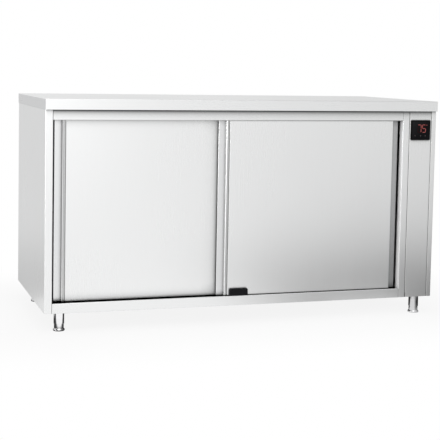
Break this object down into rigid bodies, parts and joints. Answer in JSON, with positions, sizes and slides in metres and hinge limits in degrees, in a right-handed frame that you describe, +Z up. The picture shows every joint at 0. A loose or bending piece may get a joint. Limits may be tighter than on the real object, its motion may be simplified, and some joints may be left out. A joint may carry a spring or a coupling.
{
  "type": "plate warmer cabinet",
  "caption": "Stainless steel plate warmer cabinet: a worktop over a heated double-walled chamber with sliding doors, and a control bay with a digital controller.",
  "frame": {"origin": "on the floor, under the centre of the cabinet's outline", "axes": "+X to the right seen from the front, +Y to the back, +Z up"},
  "size_m": [1.6, 0.7, 0.87],
  "materials": {
    "brushed_front": "fine satin grain",
    "inner_sheet": "mill finish",
    "zinc_plate": "zinc-plated",
    "mineral_wool": "matte fibre mat",
    "black_rubber": "matte",
    "black_plastic": "matte",
    "white_plastic": "smooth",
    "turned_steel": "turned",
    "dark_steel": "oxidised",
    "black_glass": "glossy"
  },
  "bodies": {
    "cabinet": {"worktop": "brushed_front", "left_side_panel": "brushed_front", "right_side_panel": "brushed_front", "rear_panel": "brushed_front", "base_pan": "brushed_front", "top_rail": "brushed_front", "bottom_rail": "brushed_front", "partition": "brushed_front", "control_panel": "brushed_front", "service_cover": "brushed_front", "shelf": "brushed_front", "air_baffle": "brushed_front", "left_liner": "inner_sheet", "rear_liner": "inner_sheet", "bay_liner": "inner_sheet", "chamber_roof": "inner_sheet", "chamber_floor": "inner_sheet", "worktop_stiffeners": "inner_sheet", "shelf_stiffener": "inner_sheet", "shelf_posts": "inner_sheet", "foot_plates": "inner_sheet", "door_track": "zinc_plate", "shelf_clips": "zinc_plate", "cover_screws": "zinc_plate", "wall_insulation": "mineral_wool", "roof_insulation": "mineral_wool", "floor_insulation": "mineral_wool", "track_stops": "black_rubber", "door_guide": "black_plastic", "controller_housing": "black_plastic", "safety_thermostat": "black_plastic", "cable_gland": "black_plastic", "contactor": "black_plastic", "terminal_block": "white_plastic", "wiring_duct": "white_plastic", "wires": "white_plastic", "foot_tubes": "turned_steel", "temperature_probe": "turned_steel", "heating_element": "dark_steel", "fan_motor": "dark_steel", "controller_glass": "black_glass"},
    "left_door": {"left_door_skin": "brushed_front", "left_door_back": "inner_sheet", "left_door_core": "mineral_wool", "left_door_hangers": "zinc_plate"},
    "right_door": {"right_door_skin": "brushed_front", "right_door_back": "inner_sheet", "right_door_core": "mineral_wool", "right_door_hangers": "zinc_plate"},
    "left_door_roller_1": {"left_door_roller_1": "white_plastic"},
    "left_door_roller_2": {"left_door_roller_2": "white_plastic"},
    "right_door_roller_1": {"right_door_roller_1": "white_plastic"},
    "right_door_roller_2": {"right_door_roller_2": "white_plastic"},
    "fan": {"fan_wheel": "turned_steel", "fan_shaft": "turned_steel", "motor_rotor": "dark_steel"},
    "front_left_foot": {"front_left_foot_base": "turned_steel"},
    "front_right_foot": {"front_right_foot_base": "turned_steel"},
    "rear_left_foot": {"rear_left_foot_base": "turned_steel"},
    "rear_right_foot": {"rear_right_foot_base": "turned_steel"}
  },
  "joints": [
    {"name": "left_door_slide", "type": "slide", "parent": "cabinet", "child": "left_door", "axis": [1, 0, 0], "range_m": [0, 0.636]},
    {"name": "right_door_slide", "type": "slide", "parent": "cabinet", "child": "right_door", "axis": [1, 0, 0], "range_m": [-0.636, 0]},
    {"name": "left_door_roller_1_spin", "type": "hinge", "parent": "left_door", "child": "left_door_roller_1", "pos_m": [-0.6685, -0.2965, 0.815], "axis": [0, 1, 0], "continuous": true},
    {"name": "left_door_roller_2_spin", "type": "hinge", "parent": "left_door", "child": "left_door_roller_2", "pos_m": [-0.0855, -0.2965, 0.815], "axis": [0, 1, 0], "continuous": true},
    {"name": "right_door_roller_1_spin", "type": "hinge", "parent": "right_door", "child": "right_door_roller_1", "pos_m": [-0.0325, -0.3185, 0.815], "axis": [0, 1, 0], "continuous": true},
    {"name": "right_door_roller_2_spin", "type": "hinge", "parent": "right_door", "child": "right_door_roller_2", "pos_m": [0.5505, -0.3185, 0.815], "axis": [0, 1, 0], "continuous": true},
    {"name": "fan_spin", "type": "hinge", "parent": "cabinet", "child": "fan", "pos_m": [0.664, 0.02, 0.6], "axis": [1, 0, 0], "continuous": true},
    {"name": "front_left_foot_screw", "type": "slide", "parent": "cabinet", "child": "front_left_foot", "axis": [0, 0, -1], "range_m": [0, 0.02]},
    {"name": "front_right_foot_screw", "type": "slide", "parent": "cabinet", "child": "front_right_foot", "axis": [0, 0, -1], "range_m": [0, 0.02]},
    {"name": "rear_left_foot_screw", "type": "slide", "parent": "cabinet", "child": "rear_left_foot", "axis": [0, 0, -1], "range_m": [0, 0.02]},
    {"name": "rear_right_foot_screw", "type": "slide", "parent": "cabinet", "child": "rear_right_foot", "axis": [0, 0, -1], "range_m": [0, 0.02]}
  ],
  "couplings": [
    {"joint": "left_door_roller_1_spin", "follows": "left_door_slide", "rad_per_m": 117.65},
    {"joint": "left_door_roller_2_spin", "follows": "left_door_slide", "rad_per_m": 117.65},
    {"joint": "right_door_roller_1_spin", "follows": "right_door_slide", "rad_per_m": 117.65},
    {"joint": "right_door_roller_2_spin", "follows": "right_door_slide", "rad_per_m": 117.65}
  ]
}
